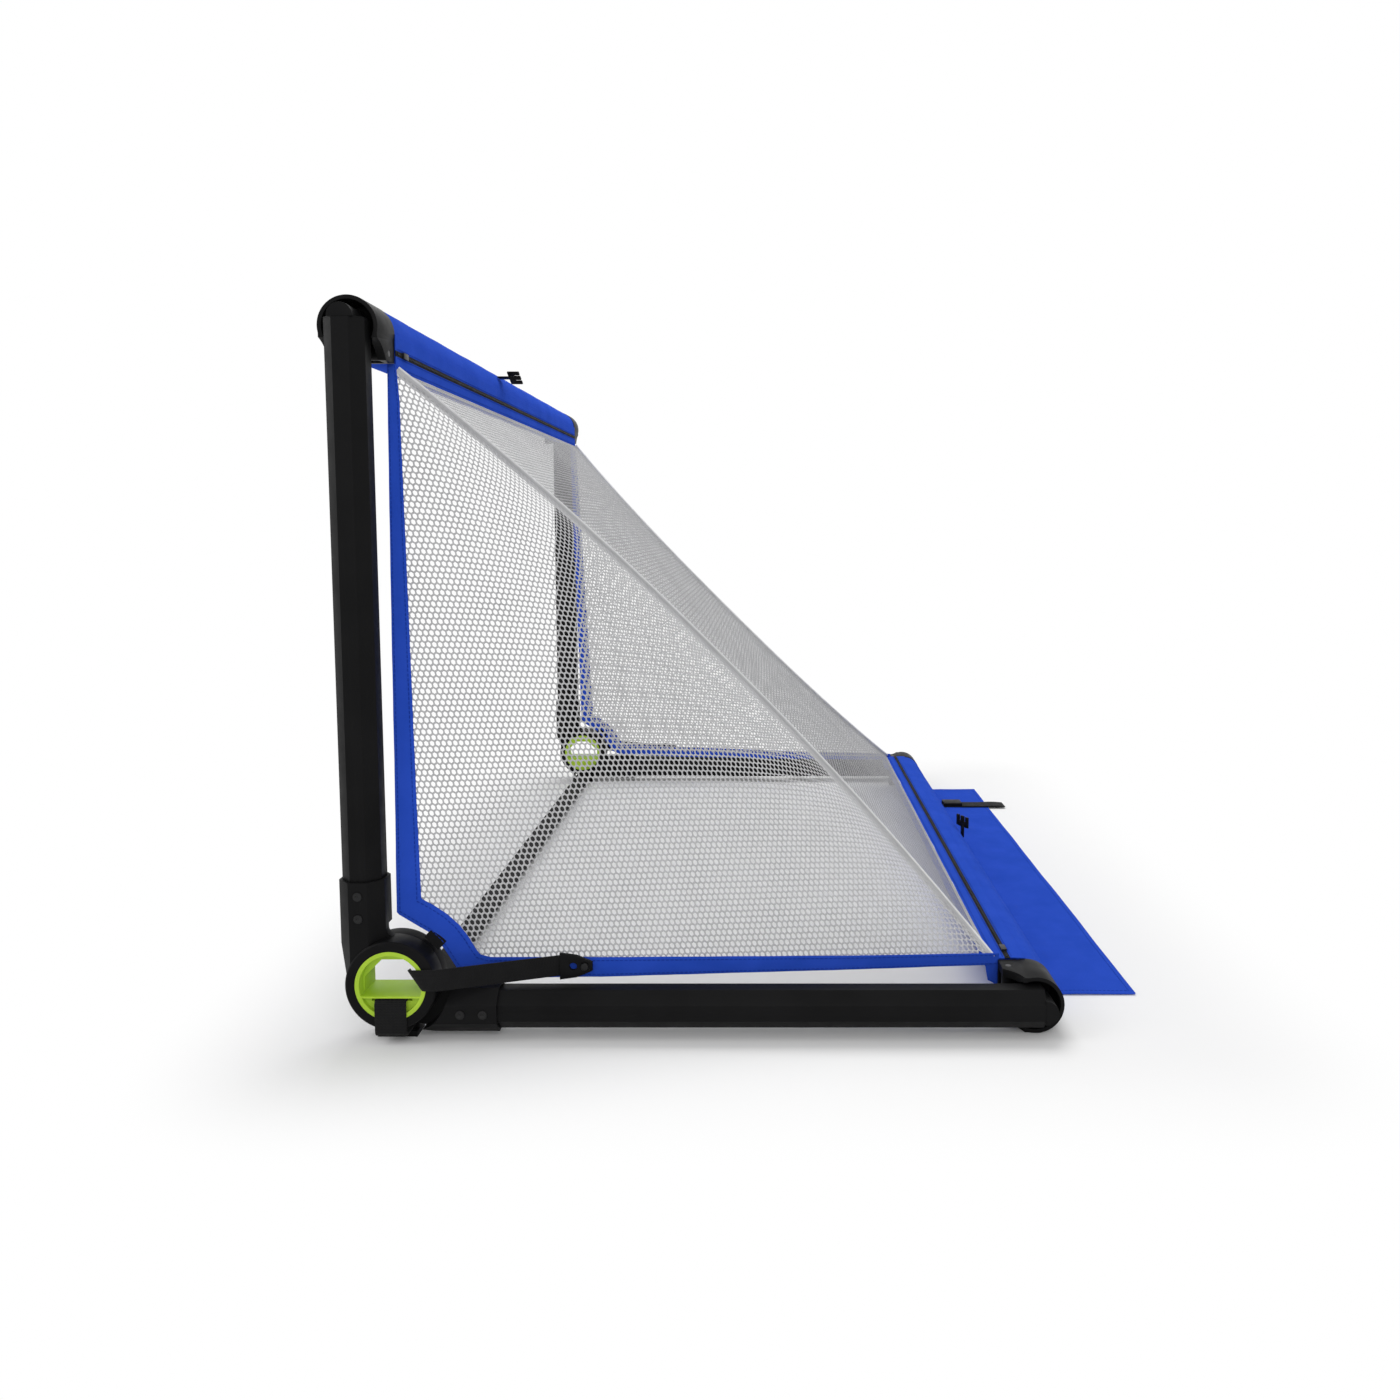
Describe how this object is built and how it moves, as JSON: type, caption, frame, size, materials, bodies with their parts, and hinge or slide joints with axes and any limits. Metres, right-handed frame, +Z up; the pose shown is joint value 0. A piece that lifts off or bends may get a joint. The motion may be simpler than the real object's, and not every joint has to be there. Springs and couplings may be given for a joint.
{
  "type": "hockey goal net",
  "caption": "Folding goal with L-shaped side legs, hub hinges, fabric-sleeved bars, mesh net and a rear ground flap.",
  "frame": {"origin": "on the floor, below the middle of the object's box", "axes": "+X along the crossbar to the goal's right side seen from the front's left hand, +Y from the open mouth to the rear bar, +Z up"},
  "size_m": [1.2046, 0.8862, 0.75],
  "materials": {
    "leg_metal": "semi-gloss black powder coat",
    "bar_metal": "mill finish",
    "steel": "brushed",
    "black_metal": "satin black",
    "black_plastic": "satin moulded",
    "lime_plastic": "satin moulded",
    "blue_fabric": "woven polyester",
    "black_webbing": "woven webbing",
    "white_net": "knitted mesh"
  },
  "bodies": {
    "rear_frame": {"rear_bar_tube": "bar_metal", "rear_hood_right": "black_plastic", "rear_hood_left": "black_plastic", "rear_corner_pins": "steel", "rear_sleeve": "blue_fabric", "rear_band": "blue_fabric", "rear_zip": "black_webbing", "rear_buckle": "black_plastic", "ground_tube_right": "leg_metal", "ground_tube_left": "leg_metal", "ground_end_right": "black_plastic", "ground_end_left": "black_plastic", "ground_knuckle_right": "black_plastic", "ground_knuckle_left": "black_plastic", "ground_rivets_right": "black_metal", "ground_rivets_left": "black_metal", "hub_bush_right": "lime_plastic", "hub_bush_left": "lime_plastic", "floor_strap": "black_webbing", "tension_strap_right": "black_webbing", "tension_strap_left": "black_webbing", "strap_fitting_right": "black_plastic", "strap_fitting_left": "black_plastic", "strap_stud_right": "black_metal", "strap_stud_left": "black_metal", "net_back": "white_net", "net_side_right": "white_net", "net_side_left": "white_net", "net_border_right": "blue_fabric", "net_border_left": "blue_fabric", "corner_tab_right": "black_webbing", "corner_tab_left": "black_webbing", "flap_hem": "blue_fabric"},
    "crossbar_frame": {"crossbar_tube": "bar_metal", "crossbar_hood_right": "black_plastic", "crossbar_hood_left": "black_plastic", "crossbar_corner_pins": "steel", "crossbar_sleeve": "blue_fabric", "crossbar_band": "blue_fabric", "crossbar_zip": "black_webbing", "crossbar_buckle": "black_plastic", "post_tube_right": "leg_metal", "post_tube_left": "leg_metal", "post_end_right": "black_plastic", "post_end_left": "black_plastic", "post_knuckle_right": "black_plastic", "post_knuckle_left": "black_plastic", "post_rivets_right": "black_metal", "post_rivets_left": "black_metal"},
    "crossbar_zip_pull": {"crossbar_zip_slider": "black_metal"},
    "rear_zip_pull": {"rear_zip_slider": "black_metal"},
    "flap_panel": {"flap": "blue_fabric", "flap_strap": "black_webbing", "flap_buckle": "black_plastic"}
  },
  "joints": [
    {"name": "hub_fold", "type": "hinge", "parent": "rear_frame", "child": "crossbar_frame", "pos_m": [0, -0.3823, 0.0608], "axis": [-1, 0, 0], "range_deg": [0, 89.5], "deforming": ["net_back", "net_side_right", "net_border_right", "corner_tab_right", "tension_strap_right", "strap_fitting_right", "strap_stud_right", "net_side_left", "net_border_left", "corner_tab_left", "tension_strap_left", "strap_fitting_left", "strap_stud_left", "crossbar_buckle", "rear_buckle"]},
    {"name": "crossbar_zip_slide", "type": "slide", "parent": "crossbar_frame", "child": "crossbar_zip_pull", "axis": [-1, 0, 0], "range_m": [0, 1]},
    {"name": "rear_zip_slide", "type": "slide", "parent": "rear_frame", "child": "rear_zip_pull", "axis": [-1, 0, 0], "range_m": [0, 1]},
    {"name": "flap_lift", "type": "hinge", "parent": "rear_frame", "child": "flap_panel", "pos_m": [0, 0.3115, 0.0023], "axis": [1, 0, 0], "range_deg": [0, 75]}
  ]
}
